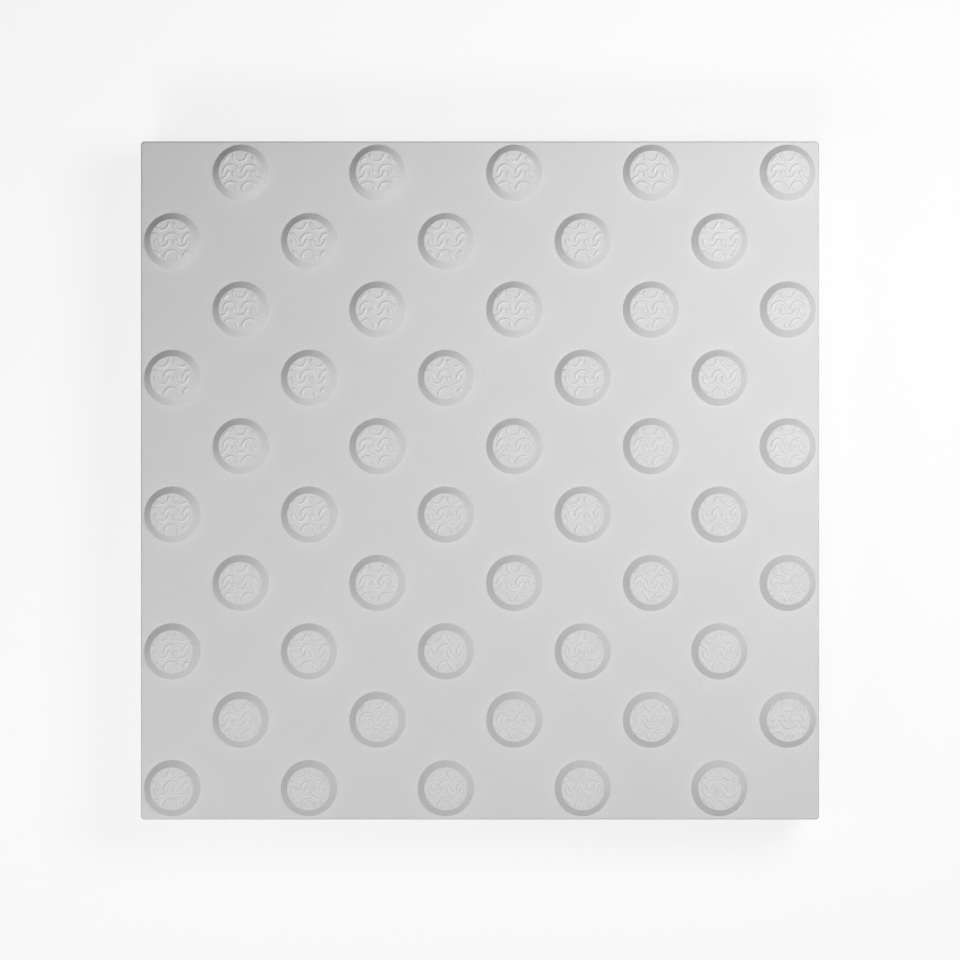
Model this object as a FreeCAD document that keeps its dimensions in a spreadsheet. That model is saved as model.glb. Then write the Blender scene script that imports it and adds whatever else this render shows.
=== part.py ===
# Tactile paving slab: a square concrete slab with a staggered field of flat-topped warning studs.
#
# The slab is one casting, so it is one solid. It lies flat, with its underside on Z = 0 and centred on
# the Z axis. The studs stand on alternate crossings of a square grid, and the corners of the slab that
# hold a stud are the ones towards +X +Y and -X -Y. All lengths are in millimetres.

import FreeCAD, Part
import os
from enum import IntEnum

import Sketcher

NODE = "tactile_slab"

# Driving sizes. The plan size is the 400 mm laying module less a 3 mm joint.
SIZES = {
    "slab_side": 397.0,
    "slab_thickness": 50.0,
    "corner_radius": 2.0,
    "arris_radius": 1.0,
    "stud_step": 40.0,
    "least_strip": 1.5,
    "stud_base_diameter": 33.0,
    "stud_top_diameter": 25.0,
    "stud_height": 5.0,
}

# Sizes that follow from the driving ones. A line of studs takes as many as leave the least flat strip
# between a stud's foot and the edge, and the first stud stands in the corner towards +X +Y.
LAYOUT = {
    "studs_per_line": "=floor(((Sizes.slab_side - 2 * Sizes.least_strip - Sizes.stud_base_diameter)"
                      " / Sizes.stud_step + 1) / 2)",
    "line_length": "=(studs_per_line - 1) * 2 * Sizes.stud_step",
    "first_stud": "=(studs_per_line - 0.5) * Sizes.stud_step",
}

# How far the finished volume may differ from the block and its studs added up, as a share.
VOLUME_TOLERANCE = 1e-6

# Turns in degrees.
QUARTER_TURN = 90
FULL_TURN = 360


class Point(IntEnum):
    """The end of a sketch element that a constraint takes hold of."""

    START = 1
    END = 2


class Axis(IntEnum):
    """The two axes that every sketch has of its own, both of which start at its origin."""

    HORIZONTAL = -1
    VERTICAL = -2


ORIGIN = (Axis.HORIZONTAL, Point.START)


def add_sheet(doc, label, cells):
    """Make a sheet with one aliased cell for each named value."""
    sheet = doc.addObject("Spreadsheet::Sheet", label)
    for row, (alias, value) in enumerate(cells.items(), start=1):
        sheet.set(f"A{row}", alias)
        sheet.set(f"B{row}", str(value))
        sheet.setAlias(f"B{row}", alias)
    return sheet


def origin_feature(body, role):
    """Find one of the body's own origin planes or axes by its role."""
    for feature in body.Origin.OriginFeatures:
        if feature.Role == role:
            return feature
    raise LookupError(role)


def add_sketch(body, name, plane_role):
    """Add an empty sketch on one of the body's origin planes."""
    sketch = body.newObject("Sketcher::SketchObject", name)
    sketch.AttachmentSupport = [(origin_feature(body, plane_role), "")]
    sketch.MapMode = "FlatFace"
    return sketch


def bind_size(sketch, name, expression, constraint):
    """Add a named dimension to a sketch and tie it to an expression."""
    sketch.addConstraint(constraint)
    sketch.renameConstraint(sketch.ConstraintCount - 1, name)
    sketch.setExpression(f".Constraints.{name}", expression)


def draw_plan(sketch):
    """Draw the slab's plan: a square about the origin with rounded corners."""
    half = SIZES["slab_side"] / 2
    radius = SIZES["corner_radius"]
    inner = half - radius
    to_corner_mid = FreeCAD.Vector(1, -1, 0).normalize() * radius
    sides = []
    corners = []
    for angle in range(0, FULL_TURN, QUARTER_TURN):
        turn = FreeCAD.Rotation(FreeCAD.Vector(0, 0, 1), angle)
        side_start = turn.multVec(FreeCAD.Vector(-inner, -half, 0))
        side_end = turn.multVec(FreeCAD.Vector(inner, -half, 0))
        corner_mid = turn.multVec(FreeCAD.Vector(inner, -inner, 0) + to_corner_mid)
        corner_end = turn.multVec(FreeCAD.Vector(half, -inner, 0))
        sides.append(sketch.addGeometry(Part.LineSegment(side_start, side_end)))
        corners.append(sketch.addGeometry(Part.Arc(side_end, corner_mid, corner_end)))

    next_sides = sides[1:] + sides[:1]
    for side, corner, next_side in zip(sides, corners, next_sides):
        sketch.addConstraint(Sketcher.Constraint("Tangent", side, Point.END, corner, Point.START))
        sketch.addConstraint(Sketcher.Constraint("Tangent", corner, Point.END, next_side, Point.START))
    front, right, back, left = sides
    sketch.addConstraint(Sketcher.Constraint("Horizontal", front))
    sketch.addConstraint(Sketcher.Constraint("Vertical", right))
    sketch.addConstraint(Sketcher.Constraint("Horizontal", back))
    sketch.addConstraint(Sketcher.Constraint("Vertical", left))
    for corner in corners[1:]:
        sketch.addConstraint(Sketcher.Constraint("Equal", corners[0], corner))
    sketch.addConstraint(Sketcher.Constraint("Symmetric", front, Point.START, back, Point.START, *ORIGIN))
    bind_size(sketch, "length", "Sizes.slab_side",
              Sketcher.Constraint("DistanceX", left, Point.END, right, Point.START, 2 * half))
    bind_size(sketch, "width", "Sizes.slab_side",
              Sketcher.Constraint("DistanceY", front, Point.END, back, Point.START, 2 * half))
    bind_size(sketch, "corner", "Sizes.corner_radius",
              Sketcher.Constraint("Radius", corners[0], radius))


def draw_stud(sketch):
    """Draw half a stud's section beside its axis: foot, slope and flat top."""
    height = SIZES["stud_height"]
    bottom_centre = FreeCAD.Vector(0, 0, 0)
    top_centre = FreeCAD.Vector(0, height, 0)
    foot = FreeCAD.Vector(SIZES["stud_base_diameter"] / 2, 0, 0)
    rim = FreeCAD.Vector(SIZES["stud_top_diameter"] / 2, height, 0)

    foot_line = sketch.addGeometry(Part.LineSegment(bottom_centre, foot))
    slope = sketch.addGeometry(Part.LineSegment(foot, rim))
    top_line = sketch.addGeometry(Part.LineSegment(rim, top_centre))
    axis_line = sketch.addGeometry(Part.LineSegment(top_centre, bottom_centre))

    sketch.addConstraint(Sketcher.Constraint("Coincident", foot_line, Point.START, *ORIGIN))
    sketch.addConstraint(Sketcher.Constraint("Horizontal", foot_line))
    sketch.addConstraint(Sketcher.Constraint("Coincident", foot_line, Point.END, slope, Point.START))
    sketch.addConstraint(Sketcher.Constraint("Coincident", slope, Point.END, top_line, Point.START))
    sketch.addConstraint(Sketcher.Constraint("Horizontal", top_line))
    sketch.addConstraint(Sketcher.Constraint("PointOnObject", top_line, Point.END, Axis.VERTICAL))
    sketch.addConstraint(Sketcher.Constraint("Coincident", top_line, Point.END, axis_line, Point.START))
    sketch.addConstraint(Sketcher.Constraint("Coincident", axis_line, Point.END, *ORIGIN))
    bind_size(sketch, "base_radius", "Sizes.stud_base_diameter / 2",
              Sketcher.Constraint("DistanceX", *ORIGIN, foot_line, Point.END, foot.x))
    bind_size(sketch, "top_radius", "Sizes.stud_top_diameter / 2",
              Sketcher.Constraint("DistanceX", *ORIGIN, slope, Point.END, rim.x))
    bind_size(sketch, "height", "Sizes.stud_height",
              Sketcher.Constraint("DistanceY", *ORIGIN, top_line, Point.END, height))


def add_block(doc, body):
    """Make the plain block and round its upper edges."""
    plan = add_sketch(body, "SlabPlan", "XY_Plane")
    draw_plan(plan)
    block = body.newObject("PartDesign::Pad", "SlabBlock")
    block.Profile = plan
    block.setExpression("Length", "Sizes.slab_thickness")
    doc.recompute()

    faces = enumerate(block.Shape.Faces, start=1)
    top_number = max(faces, key=lambda numbered: numbered[1].CenterOfMass.z)[0]
    arris = body.newObject("PartDesign::Fillet", "SlabArris")
    arris.Base = (block, [f"Face{top_number}"])
    arris.setExpression("Radius", "Sizes.arris_radius")
    return arris


def add_repeat(doc, body, name, axis_role):
    """Repeat along one of the slab's axes, away from the first stud's corner."""
    repeat = doc.addObject("PartDesign::LinearPattern", name)
    repeat.Direction = (origin_feature(body, axis_role), [""])
    repeat.Reversed = True
    repeat.setExpression("Length", "Layout.line_length")
    repeat.setExpression("Occurrences", "Layout.studs_per_line")
    return repeat


def add_half_turn(doc, body, name):
    """Repeat by half a turn about the slab's vertical axis."""
    half_turn = doc.addObject("PartDesign::PolarPattern", name)
    half_turn.Axis = (origin_feature(body, "Z_Axis"), [""])
    half_turn.Angle = FULL_TURN
    half_turn.Occurrences = 2
    return half_turn


def add_first_stud(body):
    """Turn the stud that stands in the corner towards +X +Y."""
    section = add_sketch(body, "StudSection", "XZ_Plane")
    section.setExpression("AttachmentOffset.Base.x", "Layout.first_stud")
    section.setExpression("AttachmentOffset.Base.y", "Sizes.slab_thickness")
    section.setExpression("AttachmentOffset.Base.z", "-Layout.first_stud")
    draw_stud(section)
    stud = body.newObject("PartDesign::Revolution", "FirstStud")
    stud.Profile = section
    stud.ReferenceAxis = (section, ["V_Axis"])
    stud.Angle = FULL_TURN
    return stud


def add_stud_field(doc, body, stud):
    """Repeat the first stud over every second row, and by half a turn over the rows between."""
    field = body.newObject("PartDesign::MultiTransform", "StudField")
    field.Originals = [stud]
    field.Transformations = [
        add_repeat(doc, body, "StudLine", "X_Axis"),
        add_repeat(doc, body, "StudRows", "Y_Axis"),
        add_half_turn(doc, body, "StudHalfTurn"),
    ]
    body.Tip = field
    return field


def check_slab(doc, block, stud, field):
    """Stop if a feature failed, the casting isn't one sound solid or a stud is missing."""
    for feature in doc.Objects:
        if "Invalid" in feature.State or "Error" in feature.State:
            raise RuntimeError(f"{feature.Name} failed: {feature.State}")
    shape = field.Shape
    if shape.isNull() or not shape.isValid() or len(shape.Solids) != 1:
        raise RuntimeError("the slab isn't one valid solid")
    stud_count = 2 * doc.getObject("Layout").studs_per_line ** 2
    stud_volume = stud.Shape.Volume - block.Shape.Volume
    expected = block.Shape.Volume + stud_count * stud_volume
    if abs(shape.Volume - expected) > VOLUME_TOLERANCE * expected:
        raise RuntimeError(f"the studs add {shape.Volume - block.Shape.Volume} cubic millimetres")


def main():
    """Build the slab and write its solid."""
    doc = FreeCAD.newDocument("TactilePavingSlab")
    add_sheet(doc, "Sizes", SIZES)
    add_sheet(doc, "Layout", LAYOUT)
    doc.recompute()
    body = doc.addObject("PartDesign::Body", "Slab")
    body.Label = NODE
    block = add_block(doc, body)
    stud = add_first_stud(body)
    field = add_stud_field(doc, body, stud)
    doc.recompute()
    check_slab(doc, block, stud, field)
    os.makedirs("parts", exist_ok=True)
    body.Shape.exportStep(f"parts/{body.Label}.step")


main()
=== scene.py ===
"""Dress the tactile paving slab: one concrete casting on a pale studio floor, seen from straight above.

Lengths are in metres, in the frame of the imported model: the slab lies on Z = 0, centred on the Z axis, and
the photograph's upward direction is +Y.
"""

import logging
import math
from dataclasses import dataclass, field
from enum import Enum

import bmesh
import bpy
from bmesh.types import BMEdge, BMesh, BMFace, BMVert
from bpy.types import Material, Node, NodeSocket, NodeTree, Object
from mathutils import Matrix, Vector


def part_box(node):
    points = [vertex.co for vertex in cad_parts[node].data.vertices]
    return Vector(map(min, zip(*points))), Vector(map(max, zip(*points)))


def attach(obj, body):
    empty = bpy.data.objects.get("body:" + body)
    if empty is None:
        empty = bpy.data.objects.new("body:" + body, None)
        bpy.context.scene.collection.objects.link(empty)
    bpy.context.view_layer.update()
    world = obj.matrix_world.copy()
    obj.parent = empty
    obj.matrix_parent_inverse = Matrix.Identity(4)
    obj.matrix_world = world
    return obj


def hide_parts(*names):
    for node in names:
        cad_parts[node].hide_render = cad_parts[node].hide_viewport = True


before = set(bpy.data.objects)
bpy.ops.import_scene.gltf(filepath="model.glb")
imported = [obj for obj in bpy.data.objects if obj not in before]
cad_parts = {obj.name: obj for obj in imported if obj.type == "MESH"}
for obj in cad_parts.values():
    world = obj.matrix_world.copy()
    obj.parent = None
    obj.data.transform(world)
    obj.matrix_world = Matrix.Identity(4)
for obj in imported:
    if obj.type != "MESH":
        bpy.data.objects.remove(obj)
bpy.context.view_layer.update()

LOG = logging.getLogger("tactile_slab")
NODE = "tactile_slab"
MM = 0.001
UP = Vector((0.0, 0.0, 1.0))
SIDE_NORMALS = (Vector((1, 0, 0)), Vector((-1, 0, 0)), Vector((0, 1, 0)), Vector((0, -1, 0)))
# Vertices nearer to each other than this are one vertex, and a number smaller than this is nought.
WELD = 0.001 * MM
# A face whose normal lies this near to an axis is one of the casting's flat faces.
FLAT_NORMAL = 0.9999
# A flat face and a curved one that meet at a greater angle than this meet at a crisp line.
FOLD_ANGLE = math.radians(30.0)
# All bevels are round.
ROUND_PROFILE = 0.5

Colour = tuple[float, float, float]
MeshPart = BMVert | BMEdge | BMFace


class RidgeForm(Enum):
    """Which way a ridge is bent, told by the angle at which its half circle starts."""

    ARCH = 0.0
    CUP = math.pi


@dataclass(frozen=True)
class Ridge:
    """The line of one ridge on a stud top: a stretch of a circle, seen from above."""

    centre: Vector
    start: float
    span: float


@dataclass(frozen=True)
class RidgePattern:
    """The fine anti-slip ridges of a stud top: rows of cups and arches that hook into each other."""

    line_radius: float = 4.0 * MM
    bead_width: float = 2.0 * MM
    bead_height: float = 0.6 * MM
    column_pitch: float = 11.0 * MM
    row_pitch: float = 10.0 * MM
    field_radius: float = 11.2 * MM
    half_turn_steps: int = 10
    least_steps: int = 2
    end_steps: int = 3

    def layout(self) -> list[Ridge]:
        """List the ridges that reach into the round field of a stud top.

        Returns:
            The ridges, each cut short where it would leave the field.
        """
        cups = [(column, row, RidgeForm.CUP) for row in (0, 1) for column in (-1, 0, 1)]
        arches = [(column, row, RidgeForm.ARCH) for row in (-1, 0) for column in (-0.5, 0.5)]
        ridges = []
        for column, row, form in cups + arches:
            centre = Vector((column * self.column_pitch, row * self.row_pitch, 0.0))
            ridges.append(self.cut_to_field(centre, form))
        return ridges

    def cut_to_field(self, centre: Vector, form: RidgeForm) -> Ridge:
        """Find the stretch of a half circle that lies inside the round field.

        Args:
            centre: The middle of the half circle, from the middle of the field.
            form: Which half of the circle the ridge follows.

        Returns:
            The ridge along that stretch.
        """
        start = form.value
        end = start + math.pi
        reach = 2 * self.line_radius * centre.length
        room = self.field_radius ** 2 - self.line_radius ** 2 - centre.length_squared
        if room < reach:
            bearing = math.atan2(centre.y, centre.x)
            edge_angle = math.acos(room / reach)
            turns = round((start - math.pi / 2 - bearing) / math.tau)
            inward = bearing + math.pi + turns * math.tau
            start = max(start, inward - math.pi + edge_angle)
            end = min(end, inward + math.pi - edge_angle)
        return Ridge(centre, start, end - start)

    def bead_section(self) -> list[tuple[float, float]]:
        """Give the bead's section, a segment of a circle.

        Returns:
            Offsets across the bead with the height at each.
        """
        half = self.bead_width / 2
        curve = (half ** 2 + self.bead_height ** 2) / (2 * self.bead_height)
        sunk = curve - self.bead_height
        offsets = (-half, -half / 2, 0.0, half / 2, half)
        return [(offset, math.sqrt(curve ** 2 - offset ** 2) - sunk) for offset in offsets]

    def raise_ridge(self, bm: BMesh, ridge: Ridge, level: float) -> None:
        """Sweep the bead along a ridge's line and round off both ends.

        Args:
            bm: The mesh to add to.
            ridge: The line to follow.
            level: The height that the ridge stands on.
        """
        centre = ridge.centre + UP * level
        outward = Matrix.Rotation(ridge.start, 3, "Z") @ Vector((1.0, 0.0, 0.0))
        verts = [
            bm.verts.new(centre + outward * (self.line_radius + offset) + UP * height)
            for offset, height in self.bead_section()
        ]
        first = verts + [bm.edges.new(pair) for pair in zip(verts, verts[1:])]
        steps = max(self.least_steps, round(self.half_turn_steps * ridge.span / math.pi))
        swept = bmesh.ops.spin(
            bm, geom=first, cent=centre, axis=UP, angle=ridge.span, steps=steps
        )
        self.round_end(bm, first, ridge, -math.pi)
        self.round_end(bm, swept["geom_last"], ridge, math.pi)

    def round_end(self, bm: BMesh, section: list[MeshPart], ridge: Ridge, turn: float) -> None:
        """Close one end of a bead by turning the outer half of its section about the crest.

        Args:
            bm: The mesh to add to.
            section: The vertices and edges of the section at that end.
            ridge: The line that the bead follows.
            turn: Half a turn, positive at the far end of the sweep and negative at the near one.
        """
        verts = [part for part in section if isinstance(part, BMVert)]
        least = self.line_radius - WELD
        outer = [vert for vert in verts if (vert.co - ridge.centre).xy.length > least]
        edges = [
            part for part in section
            if isinstance(part, BMEdge) and all(vert in outer for vert in part.verts)
        ]
        crest = max(outer, key=lambda vert: vert.co.z)
        bmesh.ops.spin(
            bm, geom=outer + edges, cent=crest.co, axis=UP, angle=turn, steps=self.end_steps
        )


@dataclass(frozen=True)
class Stud:
    """One flat-topped warning stud, standing on Z = 0 at the origin."""

    base_radius: float = 16.5 * MM
    top_radius: float = 12.5 * MM
    height: float = 5.0 * MM
    rim_rounding: float = 0.3 * MM
    rim_steps: int = 3
    land_radius: float = 12.3 * MM
    segments: int = 64
    # Where the ring that keeps the slope's shading straight lies, from foot to rim.
    holding_ring: float = 0.88
    pattern: RidgePattern = field(default_factory=RidgePattern)

    @property
    def plain_height(self) -> float:
        """Height of the flat top between the ridges, whose crests are the stud's full height."""
        return self.height - self.pattern.bead_height

    def add_to(self, casting: BMesh) -> list[MeshPart]:
        """Model the stud, open at its foot, and add it to the casting's mesh at the origin.

        Args:
            casting: The mesh to add to.

        Returns:
            The stud's vertices, edges and faces in that mesh.
        """
        mesh = bpy.data.meshes.new("stud")
        bm = self.build()
        bm.to_mesh(mesh)
        bm.free()
        known = {*casting.verts, *casting.edges, *casting.faces}
        casting.from_mesh(mesh)
        bpy.data.meshes.remove(mesh)
        parts = casting.verts[:] + casting.edges[:] + casting.faces[:]
        return [part for part in parts if part not in known]

    def build(self) -> BMesh:
        """Model the stud.

        Returns:
            A new mesh, open at the stud's foot.
        """
        bm = bmesh.new()
        self.turn_side(bm)
        for ridge in self.pattern.layout():
            self.pattern.raise_ridge(bm, ridge, self.plain_height)
        bmesh.ops.remove_doubles(bm, verts=bm.verts, dist=WELD)
        self.close_top(bm)
        return bm

    def turn_side(self, bm: BMesh) -> None:
        """Turn the slope, the rounded rim and the plain land inside it about the stud's axis.

        Args:
            bm: The empty mesh to add them to.
        """
        foot = Vector((self.base_radius, 0.0, 0.0))
        rim = Vector((self.top_radius, 0.0, self.plain_height))
        land = Vector((self.land_radius, 0.0, self.plain_height))
        points = (foot, foot.lerp(rim, self.holding_ring), rim, land)
        verts = [bm.verts.new(point) for point in points]
        for pair in zip(verts, verts[1:]):
            bm.edges.new(pair)
        *_, rim_vert, _ = verts
        slope = math.atan2(rim.z, foot.x - rim.x)
        bmesh.ops.bevel(
            bm, geom=[rim_vert], offset=self.rim_rounding * math.tan(slope / 2),
            segments=self.rim_steps, profile=ROUND_PROFILE, affect="VERTICES", material=-1,
        )
        bmesh.ops.spin(
            bm, geom=bm.verts[:] + bm.edges[:], cent=Vector(), axis=UP, angle=math.tau,
            steps=self.segments, use_merge=True,
        )

    def close_top(self, bm: BMesh) -> None:
        """Fill the flat top between the land and the feet of the ridges.

        Args:
            bm: The stud's mesh.
        """
        edges = [
            edge for edge in bm.edges
            if edge.is_boundary and min(vert.co.z for vert in edge.verts) > self.plain_height / 2
        ]
        bmesh.ops.triangle_fill(bm, edges=edges, use_beauty=True, normal=UP)


class ConcreteSide(Enum):
    """The sides of the casting that come out of the mould with a finish of their own."""

    FACE = 0
    EDGE = 1
    BED = 2


class NodeSheet:
    """A node tree to which nodes are added with their values and links in one call."""

    # Places of a Mix node's sockets: its share, the two numbers or colours and what comes of them.
    MIX_SHARE = 0
    MIX_NUMBERS = (2, 3)
    MIX_NUMBER_RESULT = 0
    MIX_COLOURS = (6, 7)
    MIX_COLOUR_RESULT = 2

    def __init__(self, tree: NodeTree) -> None:
        """Take over a node tree."""
        self.tree = tree

    def add(self, kind: str, inputs: dict | None = None, **settings: object) -> Node:
        """Add a node.

        Args:
            kind: The node's type.
            inputs: Values or output sockets for the node's inputs, by name or number.
            **settings: Values for the node's own properties.

        Returns:
            The new node.
        """
        node = self.tree.nodes.new(kind)
        for name, value in settings.items():
            setattr(node, name, value)
        for name, value in (inputs or {}).items():
            if isinstance(value, NodeSocket):
                self.tree.links.new(value, node.inputs[name])
            else:
                node.inputs[name].default_value = value
        return node

    def add_group(self, group: NodeTree, inputs: dict) -> bpy.types.NodeOutputs:
        """Add a node group and return its outputs."""
        return self.add("ShaderNodeGroup", inputs, node_tree=group).outputs

    def math(self, operation: str, *values: float | NodeSocket) -> NodeSocket:
        """Add a Math node on numbers or output sockets and return its output."""
        node = self.add("ShaderNodeMath", dict(enumerate(values)), operation=operation)
        return node.outputs["Value"]

    def blend(self, share: float | NodeSocket, *numbers: float | NodeSocket) -> NodeSocket:
        """Add a Mix node between two numbers and return its output."""
        inputs = {self.MIX_SHARE: share, **dict(zip(self.MIX_NUMBERS, numbers))}
        return self.add("ShaderNodeMix", inputs).outputs[self.MIX_NUMBER_RESULT]

    def blend_colour(self, share: float | NodeSocket, *colours: tuple | NodeSocket) -> NodeSocket:
        """Add a Mix node between two colours and return its output."""
        inputs = {self.MIX_SHARE: share, **dict(zip(self.MIX_COLOURS, colours))}
        return self.add("ShaderNodeMix", inputs, data_type="RGBA").outputs[self.MIX_COLOUR_RESULT]


def opaque(colour: Colour) -> tuple[float, float, float, float]:
    """Give a colour the full alpha that colour sockets take."""
    return (*colour, 1.0)


class SharedGroup:
    """A shader node group in the making, for an effect that several finishes use."""

    def __init__(self, name: str, inputs: dict[str, str], outputs: dict[str, str]) -> None:
        """Make the group with its named sockets.

        Args:
            name: The group's name.
            inputs: Socket types by input name.
            outputs: Socket types by output name.
        """
        self.tree = bpy.data.node_groups.new(name, "ShaderNodeTree")
        for socket, kind in inputs.items():
            self.tree.interface.new_socket(socket, in_out="INPUT", socket_type=kind)
        for socket, kind in outputs.items():
            self.tree.interface.new_socket(socket, in_out="OUTPUT", socket_type=kind)
        self.sheet = NodeSheet(self.tree)
        self.given = self.sheet.add("NodeGroupInput").outputs

    def give(self, results: dict[str, NodeSocket]) -> None:
        """Link the group's results to its outputs."""
        self.sheet.add("NodeGroupOutput", results)


@dataclass(frozen=True)
class CementMottle:
    """The soft cloudy tone of cement paste: wide clouds with narrow ones among them."""

    narrow_in_wide: float = 5.0
    wide_share: float = 0.6

    def build(self) -> NodeTree:
        """Make the node group.

        Returns:
            A group that gives a tone about 0.5 at a place in millimetres.
        """
        group = SharedGroup(
            "cement_mottle",
            {"Place": "NodeSocketVector", "Cloud Size": "NodeSocketFloat"},
            {"Tone": "NodeSocketFloat"},
        )
        sheet = group.sheet
        wide_scale = sheet.math("DIVIDE", 1.0, group.given["Cloud Size"])
        narrow_scale = sheet.math("MULTIPLY", wide_scale, self.narrow_in_wide)
        wide, narrow = (
            sheet.add(
                "ShaderNodeTexNoise",
                {"Vector": group.given["Place"], "Scale": scale, "Detail": 3.0, "Roughness": 0.5},
            ).outputs["Fac"]
            for scale in (wide_scale, narrow_scale)
        )
        group.give({"Tone": sheet.blend(self.wide_share, narrow, wide)})
        return group.tree


@dataclass(frozen=True)
class SandGrain:
    """The fine grain of sand under the cement skin."""

    rounded_share: float = 0.5

    def build(self) -> NodeTree:
        """Make the node group.

        Returns:
            A group that gives a tone about 0.5 and a height from 0 to 1 at a place in millimetres.
        """
        group = SharedGroup(
            "sand_grain",
            {"Place": "NodeSocketVector", "Grain Size": "NodeSocketFloat"},
            {"Tone": "NodeSocketFloat", "Height": "NodeSocketFloat"},
        )
        sheet = group.sheet
        scale = sheet.math("DIVIDE", 1.0, group.given["Grain Size"])
        tone = sheet.add(
            "ShaderNodeTexNoise",
            {"Vector": group.given["Place"], "Scale": scale, "Detail": 2.0, "Roughness": 0.6},
        ).outputs["Fac"]
        grains = sheet.add("ShaderNodeTexVoronoi", {"Vector": group.given["Place"], "Scale": scale})
        rounded = sheet.math("SUBTRACT", 1.0, grains.outputs["Distance"])
        group.give({"Tone": tone, "Height": sheet.blend(self.rounded_share, tone, rounded)})
        return group.tree


@dataclass(frozen=True)
class AirHoles:
    """The small round holes that air leaves against a mould, most of them far below the largest size."""

    smallness: float = 2.0
    flat_share: float = 0.7

    def build(self) -> NodeTree:
        """Make the node group.

        Returns:
            A group that gives a mask, 1 inside a hole, at a place in millimetres.
        """
        group = SharedGroup(
            "air_holes",
            {
                "Place": "NodeSocketVector",
                "Spacing": "NodeSocketFloat",
                "Largest Radius": "NodeSocketFloat",
            },
            {"Hole": "NodeSocketFloat"},
        )
        sheet = group.sheet
        scale = sheet.math("DIVIDE", 1.0, group.given["Spacing"])
        cells = sheet.add("ShaderNodeTexVoronoi", {"Vector": group.given["Place"], "Scale": scale}).outputs
        distance = sheet.math("MULTIPLY", cells["Distance"], group.given["Spacing"])
        chance = sheet.add("ShaderNodeSeparateColor", {"Color": cells["Color"]}).outputs["Red"]
        share = sheet.math("POWER", chance, self.smallness)
        radius = sheet.math("MULTIPLY", share, group.given["Largest Radius"])
        flat_radius = sheet.math("MULTIPLY", radius, self.flat_share)
        hole = sheet.add(
            "ShaderNodeMapRange",
            {"Value": distance, "From Min": radius, "From Max": flat_radius},
            interpolation_type="SMOOTHSTEP",
        )
        group.give({"Hole": hole.outputs["Result"]})
        return group.tree


@dataclass(frozen=True)
class ConcreteEffects:
    """The shader node groups that the concrete finishes share."""

    mottle: NodeTree
    grain: NodeTree
    air_holes: NodeTree

    @classmethod
    def build(cls) -> "ConcreteEffects":
        """Make the groups."""
        return cls(CementMottle().build(), SandGrain().build(), AirHoles().build())


@dataclass(frozen=True)
class ConcreteFinish:
    """How one side of the casting looks as it comes out of the mould. Its lengths are in millimetres."""

    name: str
    pale: Colour
    dark: Colour
    roughness: float
    specular: float
    cloud_size: float
    grain_size: float
    # How much of the tone is the grain's; the rest is the clouds'.
    grain_share: float
    relief: float
    # A hole radius of nought leaves the air holes out.
    hole_spacing: float = 0.0
    hole_radius: float = 0.0
    hole_depth: float = 0.0
    # Painted shade: the air holes are coloured this dark grey inside.
    hole_shade_colour: Colour = (0.32, 0.32, 0.318)
    # The heights between which a painted highlight makes the ridges' crests paler, and by how much; nought
    # leaves that out.
    crest_highlight_foot: float = 0.0
    crest_highlight_top: float = 0.0
    crest_highlight_share: float = 0.0
    crest_highlight_colour: Colour = (0.78, 0.78, 0.778)

    def build(self, effects: ConcreteEffects) -> Material:
        """Make the finish as a material.

        Args:
            effects: The shared node groups.

        Returns:
            The material.
        """
        material = bpy.data.materials.new(self.name)
        material.use_nodes = True
        sheet = NodeSheet(material.node_tree)
        position = sheet.add("ShaderNodeTexCoord").outputs["Object"]
        to_mm = Vector.Fill(3, 1 / MM)
        place = sheet.add("ShaderNodeMapping", {"Vector": position, "Scale": to_mm}).outputs["Vector"]
        mottle = sheet.add_group(effects.mottle, {"Place": place, "Cloud Size": self.cloud_size})
        grain = sheet.add_group(effects.grain, {"Place": place, "Grain Size": self.grain_size})
        tone = sheet.blend(self.grain_share, mottle["Tone"], grain["Tone"])
        colour = sheet.blend_colour(tone, opaque(self.dark), opaque(self.pale))
        height = grain["Height"]
        # Painted highlight: the ridges' crests are made paler.
        if self.crest_highlight_share > 0.0:
            colour = self.paint_crest_highlight(sheet, place, colour)
        if self.hole_radius > 0.0:
            holes = {"Place": place, "Spacing": self.hole_spacing, "Largest Radius": self.hole_radius}
            hole = sheet.add_group(effects.air_holes, holes)["Hole"]
            # Painted shade inside the air holes.
            colour = sheet.blend_colour(hole, colour, opaque(self.hole_shade_colour))
            depth = sheet.math("MULTIPLY", hole, self.hole_depth / self.relief)
            height = sheet.math("SUBTRACT", height, depth)
        bump = sheet.add("ShaderNodeBump", {"Height": height, "Distance": self.relief * MM})
        shader = material.node_tree.nodes["Principled BSDF"]
        shader.inputs["Roughness"].default_value = self.roughness
        shader.inputs["Specular IOR Level"].default_value = self.specular
        sheet.tree.links.new(colour, shader.inputs["Base Color"])
        sheet.tree.links.new(bump.outputs["Normal"], shader.inputs["Normal"])
        return material

    def paint_crest_highlight(self, sheet: NodeSheet, place: NodeSocket, colour: NodeSocket) -> NodeSocket:
        """Paint a highlight on the crests of the ridges, a little paler than the concrete round them.

        Args:
            sheet: The material's nodes.
            place: The place on the casting, in millimetres.
            colour: The concrete's colour.

        Returns:
            The colour with a painted highlight on the crests.
        """
        level = sheet.add("ShaderNodeSeparateXYZ", {"Vector": place}).outputs["Z"]
        crest = sheet.add(
            "ShaderNodeMapRange",
            {
                "Value": level,
                "From Min": self.crest_highlight_foot,
                "From Max": self.crest_highlight_top,
                "To Max": self.crest_highlight_share,
            },
        ).outputs["Result"]
        return sheet.blend_colour(crest, colour, opaque(self.crest_highlight_colour))


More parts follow.
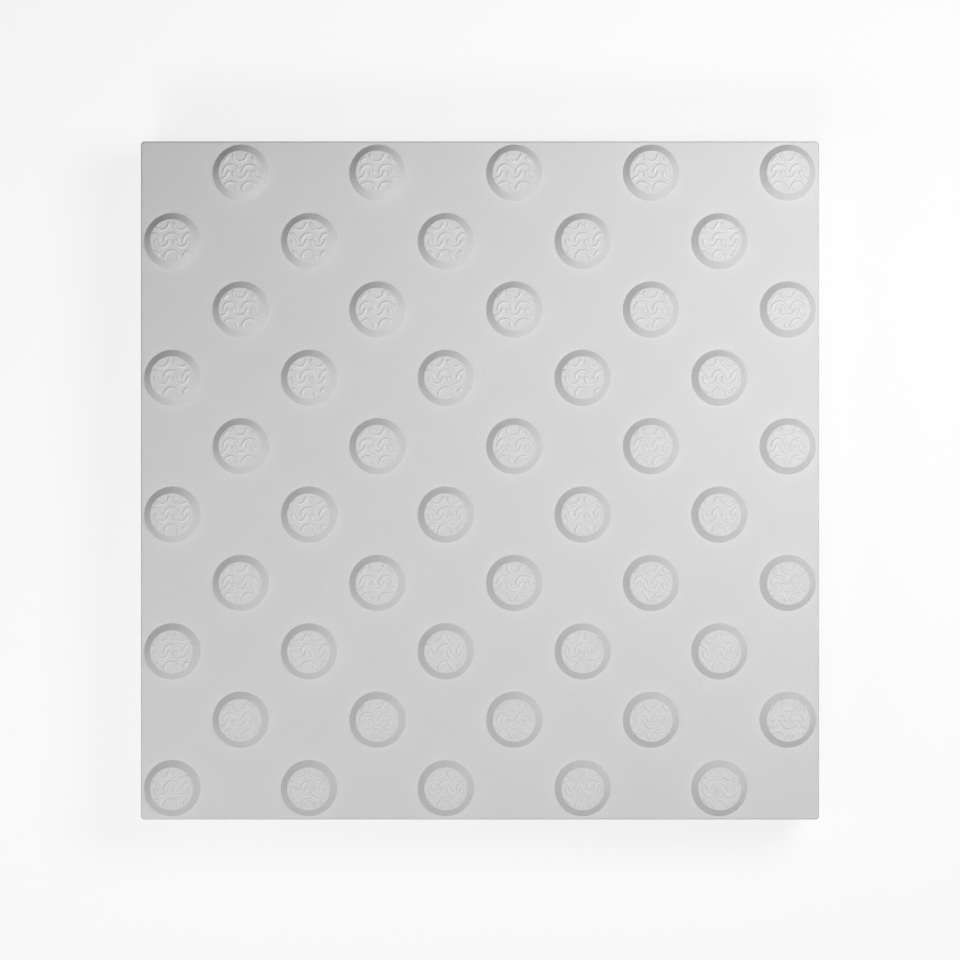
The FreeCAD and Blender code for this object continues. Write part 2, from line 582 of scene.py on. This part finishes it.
@dataclass
class SlabCasting:
    """The slab with its studs, cast in one pour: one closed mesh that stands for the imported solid."""

    low: Vector
    high: Vector
    stud_step: float = 40.0 * MM
    corner_radius: float = 2.0 * MM
    corner_steps: int = 4
    arris_radius: float = 1.0 * MM
    arris_steps: int = 4
    bed_arris_radius: float = 0.5 * MM
    bed_arris_steps: int = 2
    stud: Stud = field(default_factory=Stud)

    @property
    def half_side(self) -> float:
        """Half the slab's side."""
        return (self.high.x - self.low.x) / 2

    @property
    def thickness(self) -> float:
        """Thickness of the slab without its studs."""
        return self.high.z - self.low.z - self.stud.height

    @property
    def cells(self) -> int:
        """How many stud steps the slab's side spans, counting a cut one as whole."""
        return math.ceil(2 * self.half_side / self.stud_step)

    def build(self) -> Object:
        """Model the casting and set it in the frame.

        Returns:
            The finished piece, without its materials.
        """
        bm = bmesh.new()
        self.cast_block(bm)
        self.round_edges(bm)
        self.plant_studs(bm)
        bmesh.ops.remove_doubles(bm, verts=bm.verts, dist=WELD)
        bmesh.ops.recalc_face_normals(bm, faces=bm.faces)
        self.mark_faces(bm)
        mesh = bpy.data.meshes.new("slab_casting")
        bm.to_mesh(mesh)
        bm.free()
        piece = bpy.data.objects.new("slab_casting", mesh)
        bpy.context.scene.collection.objects.link(piece)
        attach(piece, "root")
        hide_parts(NODE)
        return piece

    def cast_block(self, bm: BMesh) -> None:
        """Make the plain block, its top divided into one cell for each stud step.

        Args:
            bm: The empty mesh to add it to.
        """
        bmesh.ops.create_grid(
            bm, x_segments=self.cells, y_segments=self.cells, size=self.cells * self.stud_step / 2
        )
        for outward in SIDE_NORMALS:
            bmesh.ops.bisect_plane(
                bm, geom=bm.verts[:] + bm.edges[:] + bm.faces[:], dist=WELD,
                plane_co=outward * self.half_side, plane_no=outward, clear_outer=True,
            )
        border = [edge for edge in bm.edges if edge.is_boundary]
        walls = bmesh.ops.extrude_edge_only(bm, edges=border)["geom"]
        bmesh.ops.translate(
            bm, vec=-UP * self.thickness, verts=[part for part in walls if isinstance(part, BMVert)]
        )
        bed = [part for part in walls if isinstance(part, BMEdge) and part.is_boundary]
        bmesh.ops.edgeloop_fill(bm, edges=bed)
        bmesh.ops.translate(bm, vec=UP * (self.low.z + self.thickness), verts=bm.verts)
        bmesh.ops.recalc_face_normals(bm, faces=bm.faces)

    def round_edges(self, bm: BMesh) -> None:
        """Round the upright corners, then the upper and the lower edges.

        Args:
            bm: The plain block.
        """
        upright = [
            edge for edge in bm.edges
            if abs(edge.verts[0].co.z - edge.verts[1].co.z) > WELD and edge.calc_face_angle() > WELD
        ]
        self.round_off(bm, upright, self.corner_radius, self.corner_steps)
        top = self.low.z + self.thickness
        for level, radius, steps in (
            (top, self.arris_radius, self.arris_steps),
            (self.low.z, self.bed_arris_radius, self.bed_arris_steps),
        ):
            folded = [
                edge for edge in bm.edges
                if all(abs(vert.co.z - level) < WELD for vert in edge.verts)
                and edge.calc_face_angle() > WELD
            ]
            self.round_off(bm, folded, radius, steps)

    @staticmethod
    def round_off(bm: BMesh, edges: list[BMEdge], radius: float, steps: int) -> None:
        """Bevel square edges to a radius."""
        bmesh.ops.bevel(
            bm, geom=edges, offset=radius, segments=steps, profile=ROUND_PROFILE, affect="EDGES", material=-1
        )

    def plant_studs(self, bm: BMesh) -> None:
        """Set a stud in every second cell of the top, with the rows turned by half in alternation.

        Args:
            bm: The rounded block.
        """
        top = self.low.z + self.thickness
        tops = [
            face for face in bm.faces
            if face.normal.z > FLAT_NORMAL and abs(face.calc_center_median().z - top) < WELD
        ]
        pattern = self.stud.add_to(bm)
        for cell in tops:
            column, row = (self.cell_number(value) for value in cell.calc_center_bounds().xy)
            if (column + row) % 2 == 0:
                place = Vector((self.cell_middle(column), self.cell_middle(row), top))
                turned = math.pi if row % 2 == 0 else 0.0
                self.plant(bm, cell, pattern, Matrix.Translation(place) @ Matrix.Rotation(turned, 4, "Z"))
        pattern_verts = [part for part in pattern if isinstance(part, BMVert)]
        bmesh.ops.delete(bm, geom=pattern_verts, context="VERTS")

    def cell_number(self, value: float) -> int:
        """Number of the cell that holds a coordinate."""
        return math.floor(value / self.stud_step + self.cells / 2)

    def cell_middle(self, number: int) -> float:
        """Coordinate of the middle of a cell."""
        return (number - (self.cells - 1) / 2) * self.stud_step

    @staticmethod
    def plant(bm: BMesh, cell: BMFace, pattern: list[MeshPart], place: Matrix) -> None:
        """Put a copy of the stud in the place of a flat cell and fill the flat round its foot.

        Args:
            bm: The casting.
            cell: The flat cell that the stud stands in.
            pattern: The vertices, edges and faces of the stud to copy.
            place: Where the copy goes.
        """
        border = list(cell.edges)
        bmesh.ops.delete(bm, geom=[cell], context="FACES_ONLY")
        copy = bmesh.ops.duplicate(bm, geom=pattern)["geom"]
        foot = [part for part in copy if isinstance(part, BMEdge) and part.is_boundary]
        bmesh.ops.transform(bm, matrix=place, verts=[part for part in copy if isinstance(part, BMVert)])
        bmesh.ops.triangle_fill(bm, edges=border + foot, use_beauty=True, normal=UP)

    def mark_faces(self, bm: BMesh) -> None:
        """Shade the curved faces smooth and give each side of the casting its own finish.

        Args:
            bm: The finished casting.
        """
        arris_foot = self.low.z + self.thickness - self.arris_radius - WELD
        for face in bm.faces:
            face.smooth = max(abs(part) for part in face.normal) < FLAT_NORMAL
            if min(vert.co.z for vert in face.verts) > arris_foot:
                side = ConcreteSide.FACE
            elif face.normal.z < -FLAT_NORMAL:
                side = ConcreteSide.BED
            else:
                side = ConcreteSide.EDGE
            face.material_index = side.value
        for edge in bm.edges:
            first, second = edge.link_faces
            edge.smooth = first.smooth == second.smooth or edge.calc_face_angle() < FOLD_ANGLE

    def dress(self, piece: Object, finishes: dict[ConcreteSide, ConcreteFinish]) -> None:
        """Give each side of the casting its finish.

        Args:
            piece: The casting.
            finishes: The finish of each side.
        """
        effects = ConcreteEffects.build()
        for side in ConcreteSide:
            piece.data.materials.append(finishes[side].build(effects))


FINISHES = {
    ConcreteSide.FACE: ConcreteFinish(
        name="fair_face_concrete",
        pale=(0.705, 0.705, 0.703),
        dark=(0.535, 0.535, 0.533),
        roughness=0.6,
        specular=0.3,
        cloud_size=60.0,
        grain_size=1.0,
        grain_share=0.75,
        relief=0.02,
        # Painted highlight on the ridges' crests, between these heights in millimetres.
        crest_highlight_foot=54.8,
        crest_highlight_top=55.0,
        crest_highlight_share=0.65,
    ),
    ConcreteSide.EDGE: ConcreteFinish(
        name="moulded_edge_concrete",
        pale=(0.71, 0.71, 0.707),
        dark=(0.51, 0.51, 0.507),
        roughness=0.7,
        specular=0.3,
        cloud_size=30.0,
        grain_size=1.4,
        grain_share=0.5,
        relief=0.06,
        hole_spacing=4.5,
        hole_radius=0.7,
        hole_depth=0.4,
    ),
    ConcreteSide.BED: ConcreteFinish(
        name="struck_bed_concrete",
        pale=(0.68, 0.68, 0.673),
        dark=(0.42, 0.42, 0.414),
        roughness=0.9,
        specular=0.3,
        cloud_size=24.0,
        grain_size=2.6,
        grain_share=0.5,
        relief=0.5,
        hole_spacing=9.0,
        hole_radius=1.8,
        hole_depth=1.2,
    ),
}


@dataclass(frozen=True)
class Softbox:
    """A square soft light that hangs beside or above the slab and faces its middle."""

    name: str
    place: tuple[float, float, float]
    side: float
    power: float

    def hang(self) -> None:
        """Add the light to the scene, out of the camera's sight."""
        data = bpy.data.lights.new(self.name, "AREA")
        data.shape = "SQUARE"
        data.size = self.side
        data.energy = self.power
        light = bpy.data.objects.new(self.name, data)
        light.location = self.place
        light.rotation_euler = (-light.location).to_track_quat("-Z", "Y").to_euler()
        light.visible_camera = False
        bpy.context.scene.collection.objects.link(light)


@dataclass
class Studio:
    """The pale floor, the soft light and the camera straight above the slab."""

    floor_half_side: float = 6.0
    floor_colour: Colour = (0.9, 0.9, 0.9)
    white: Colour = (1.0, 1.0, 1.0)
    # How much of the floor's own light and shade the camera sees; the rest is plain white.
    floor_shade: float = 0.22
    ambient: float = 0.01
    camera_place: tuple[float, float, float] = (0.0, 0.27 * MM, 1.584)
    lens: float = 98.3
    softboxes: tuple[Softbox, ...] = (
        Softbox(name="overhead_softbox", place=(0.40, 0.17, 0.69), side=0.4, power=4.66),
        Softbox(name="left_softbox", place=(-0.45, -0.28, 0.545), side=0.4, power=1.50),
        Softbox(name="front_softbox", place=(-0.47, -2.50, 2.98), side=1.0, power=37.7),
    )

    def build(self) -> None:
        """Set up the floor, the light and the camera."""
        self.lay_floor()
        self.light_world()
        for softbox in self.softboxes:
            softbox.hang()
        self.hang_camera()
        bpy.context.scene.view_settings.view_transform = "Standard"

    @staticmethod
    def white_to_sight(sheet: NodeSheet) -> NodeSocket:
        """Add nodes that tell what the camera sees, straight or by reflection, from other light.

        Args:
            sheet: The nodes to add to.

        Returns:
            1 for what the camera sees and 0 for other light.
        """
        path = sheet.add("ShaderNodeLightPath").outputs
        mirrored = sheet.math("MAXIMUM", path["Is Glossy Ray"], path["Is Transmission Ray"])
        return sheet.math("MAXIMUM", path["Is Camera Ray"], mirrored)

    def lay_floor(self) -> None:
        """Lay the plain pale floor, nearly white to the camera but with the slab's shadow on it."""
        bm = bmesh.new()
        bmesh.ops.create_grid(bm, x_segments=1, y_segments=1, size=self.floor_half_side)
        mesh = bpy.data.meshes.new("studio_floor")
        bm.to_mesh(mesh)
        bm.free()
        floor = bpy.data.objects.new("studio_floor", mesh)
        bpy.context.scene.collection.objects.link(floor)
        material = bpy.data.materials.new("studio_floor")
        material.use_nodes = True
        mesh.materials.append(material)
        sheet = NodeSheet(material.node_tree)
        shader = sheet.tree.nodes["Principled BSDF"]
        shader.inputs["Base Color"].default_value = opaque(self.floor_colour)
        shader.inputs["Roughness"].default_value = 1.0
        glow = sheet.add("ShaderNodeEmission", {"Color": opaque(self.white), "Strength": 1.0})
        share = sheet.math("MULTIPLY", self.white_to_sight(sheet), 1.0 - self.floor_shade)
        mix = sheet.add(
            "ShaderNodeMixShader", {0: share, 1: shader.outputs["BSDF"], 2: glow.outputs["Emission"]}
        )
        sheet.tree.links.new(mix.outputs["Shader"], sheet.tree.nodes["Material Output"].inputs["Surface"])

    def light_world(self) -> None:
        """Fill the room with a little even light, white where the camera sees past the floor."""
        world = bpy.data.worlds.new("studio_world")
        world.use_nodes = True
        bpy.context.scene.world = world
        sheet = NodeSheet(world.node_tree)
        strength = sheet.blend(self.white_to_sight(sheet), self.ambient, 1.0)
        background = sheet.tree.nodes["Background"]
        background.inputs["Color"].default_value = opaque(self.white)
        sheet.tree.links.new(strength, background.inputs["Strength"])

    def hang_camera(self) -> None:
        """Hang the camera straight above the slab, with the photograph's upward direction along +Y."""
        data = bpy.data.cameras.new("camera")
        data.lens = self.lens
        camera = bpy.data.objects.new("camera", data)
        camera.location = self.camera_place
        bpy.context.scene.collection.objects.link(camera)
        bpy.context.scene.camera = camera


def main() -> None:
    """Build and dress the slab, set up the studio and log the casting's face count."""
    logging.basicConfig(level=logging.INFO, format="%(name)s: %(message)s")
    casting = SlabCasting(*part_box(NODE))
    piece = casting.build()
    casting.dress(piece, FINISHES)
    LOG.info("%s has %d faces", piece.name, len(piece.data.polygons))
    Studio().build()
    LOG.info("the studio is lit")


if __name__ == "__main__":
    main()
